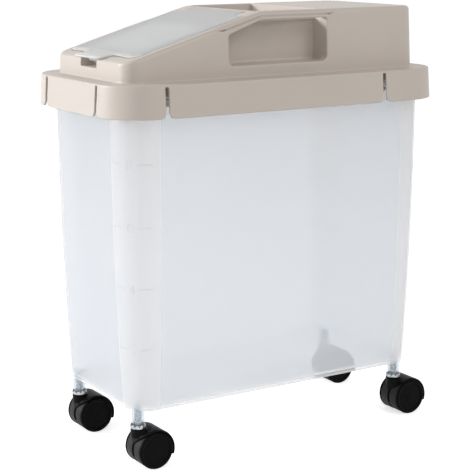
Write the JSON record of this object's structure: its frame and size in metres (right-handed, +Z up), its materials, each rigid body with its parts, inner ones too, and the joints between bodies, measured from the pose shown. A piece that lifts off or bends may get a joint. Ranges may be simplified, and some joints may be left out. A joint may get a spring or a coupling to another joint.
{
  "type": "rice bin with flip lid",
  "caption": "Tall clear storage bin on swivel twin-wheel casters, with a grey-beige lift-off cover, carrying handles and a flip lid over a sloping pour mouth.",
  "frame": {"origin": "on the floor under the middle of the bin's outline, at the wheels' lowest points", "axes": "+Z up, -Y towards the pour mouth end, X across the bin"},
  "size_m": [0.1876, 0.3436, 0.394],
  "materials": {
    "clear_plastic": "translucent milky polypropylene",
    "cover_plastic": "warm grey satin plastic",
    "lid_plastic": "frosted translucent grey",
    "black_plastic": "black nylon",
    "black_tread": "black nylon wheel",
    "zinc_steel": "bright zinc plated steel"
  },
  "bodies": {
    "bin": {"container": "clear_plastic", "crown_sleeve_front_left": "zinc_steel", "crown_sleeve_front_right": "zinc_steel", "crown_sleeve_rear_left": "zinc_steel", "crown_sleeve_rear_right": "zinc_steel"},
    "cover": {"top_cover": "cover_plastic"},
    "lid": {"flip_lid": "lid_plastic"},
    "caster_front_left": {"stem_front_left": "zinc_steel", "fender_front_left": "black_plastic", "axle_front_left": "zinc_steel"},
    "wheel_outer_front_left": {"wheel_outer_front_left": "black_tread"},
    "wheel_inner_front_left": {"wheel_inner_front_left": "black_tread"},
    "caster_front_right": {"stem_front_right": "zinc_steel", "fender_front_right": "black_plastic", "axle_front_right": "zinc_steel"},
    "wheel_outer_front_right": {"wheel_outer_front_right": "black_tread"},
    "wheel_inner_front_right": {"wheel_inner_front_right": "black_tread"},
    "caster_rear_left": {"stem_rear_left": "zinc_steel", "fender_rear_left": "black_plastic", "axle_rear_left": "zinc_steel"},
    "wheel_outer_rear_left": {"wheel_outer_rear_left": "black_tread"},
    "wheel_inner_rear_left": {"wheel_inner_rear_left": "black_tread"},
    "caster_rear_right": {"stem_rear_right": "zinc_steel", "fender_rear_right": "black_plastic", "axle_rear_right": "zinc_steel"},
    "wheel_outer_rear_right": {"wheel_outer_rear_right": "black_tread"},
    "wheel_inner_rear_right": {"wheel_inner_rear_right": "black_tread"}
  },
  "joints": [
    {"name": "cover_lift", "type": "slide", "parent": "bin", "child": "cover", "axis": [0, 0, 1], "range_m": [0, 0.12]},
    {"name": "lid_hinge", "type": "hinge", "parent": "cover", "child": "lid", "pos_m": [0, -0.02249, 0.38986], "axis": [-1, 0, 0], "range_deg": [0, 115]},
    {"name": "swivel_front_left", "type": "hinge", "parent": "bin", "child": "caster_front_left", "pos_m": [-0.0578, -0.1412, 0.0364], "axis": [0, 0, 1], "continuous": true},
    {"name": "wheel_outer_spin_front_left", "type": "hinge", "parent": "caster_front_left", "child": "wheel_outer_front_left", "pos_m": [-0.0578, -0.1306, 0.0165], "axis": [1, 0, 0], "continuous": true},
    {"name": "wheel_inner_spin_front_left", "type": "hinge", "parent": "caster_front_left", "child": "wheel_inner_front_left", "pos_m": [-0.0578, -0.1306, 0.0165], "axis": [1, 0, 0], "continuous": true},
    {"name": "swivel_front_right", "type": "hinge", "parent": "bin", "child": "caster_front_right", "pos_m": [0.0578, -0.1412, 0.0364], "axis": [0, 0, 1], "continuous": true},
    {"name": "wheel_outer_spin_front_right", "type": "hinge", "parent": "caster_front_right", "child": "wheel_outer_front_right", "pos_m": [0.0578, -0.1306, 0.0165], "axis": [1, 0, 0], "continuous": true},
    {"name": "wheel_inner_spin_front_right", "type": "hinge", "parent": "caster_front_right", "child": "wheel_inner_front_right", "pos_m": [0.0578, -0.1306, 0.0165], "axis": [1, 0, 0], "continuous": true},
    {"name": "swivel_rear_left", "type": "hinge", "parent": "bin", "child": "caster_rear_left", "pos_m": [-0.0578, 0.1412, 0.0364], "axis": [0, 0, 1], "continuous": true},
    {"name": "wheel_outer_spin_rear_left", "type": "hinge", "parent": "caster_rear_left", "child": "wheel_outer_rear_left", "pos_m": [-0.0578, 0.1518, 0.0165], "axis": [1, 0, 0], "continuous": true},
    {"name": "wheel_inner_spin_rear_left", "type": "hinge", "parent": "caster_rear_left", "child": "wheel_inner_rear_left", "pos_m": [-0.0578, 0.1518, 0.0165], "axis": [1, 0, 0], "continuous": true},
    {"name": "swivel_rear_right", "type": "hinge", "parent": "bin", "child": "caster_rear_right", "pos_m": [0.0578, 0.1412, 0.0364], "axis": [0, 0, 1], "continuous": true},
    {"name": "wheel_outer_spin_rear_right", "type": "hinge", "parent": "caster_rear_right", "child": "wheel_outer_rear_right", "pos_m": [0.0578, 0.1518, 0.0165], "axis": [1, 0, 0], "continuous": true},
    {"name": "wheel_inner_spin_rear_right", "type": "hinge", "parent": "caster_rear_right", "child": "wheel_inner_rear_right", "pos_m": [0.0578, 0.1518, 0.0165], "axis": [1, 0, 0], "continuous": true}
  ]
}
